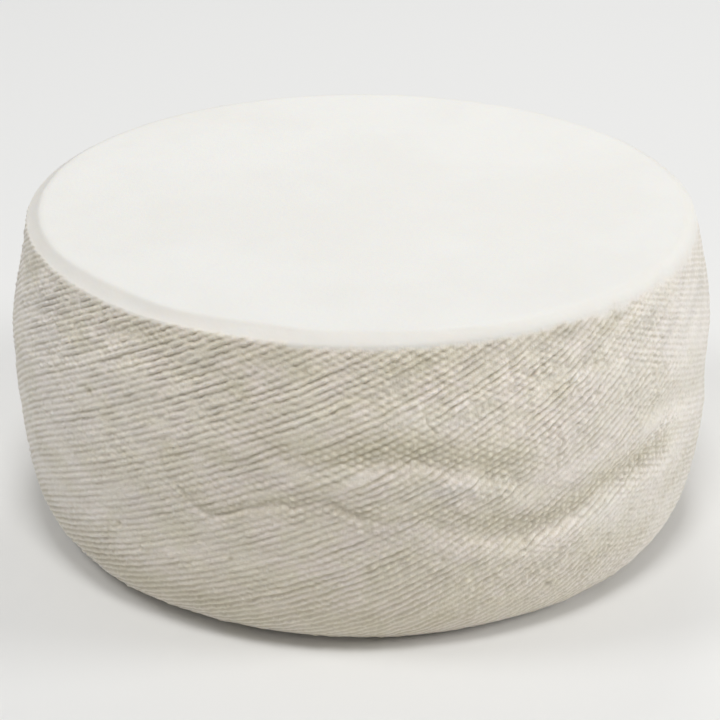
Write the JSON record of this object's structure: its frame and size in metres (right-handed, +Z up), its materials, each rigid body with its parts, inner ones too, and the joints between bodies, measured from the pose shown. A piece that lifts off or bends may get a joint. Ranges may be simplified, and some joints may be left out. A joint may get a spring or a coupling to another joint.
{
  "type": "semi-hard cheese",
  "caption": "Whole uncut wheel of pale semi-hard cheese with a smooth flat top, a rounded side marked by the pressing cloth, and a flat base.",
  "frame": {"origin": "centre of the flat base that the wheel rests on", "axes": "+Z up along the wheel's axis; -Y is the front, the side shown in the picture, and +X is to its right"},
  "size_m": [0.1998, 0.2011, 0.0925],
  "materials": {
    "rind": null
  },
  "bodies": {
    "root": {"cheese_wheel": "rind"}
  },
  "joints": []
}
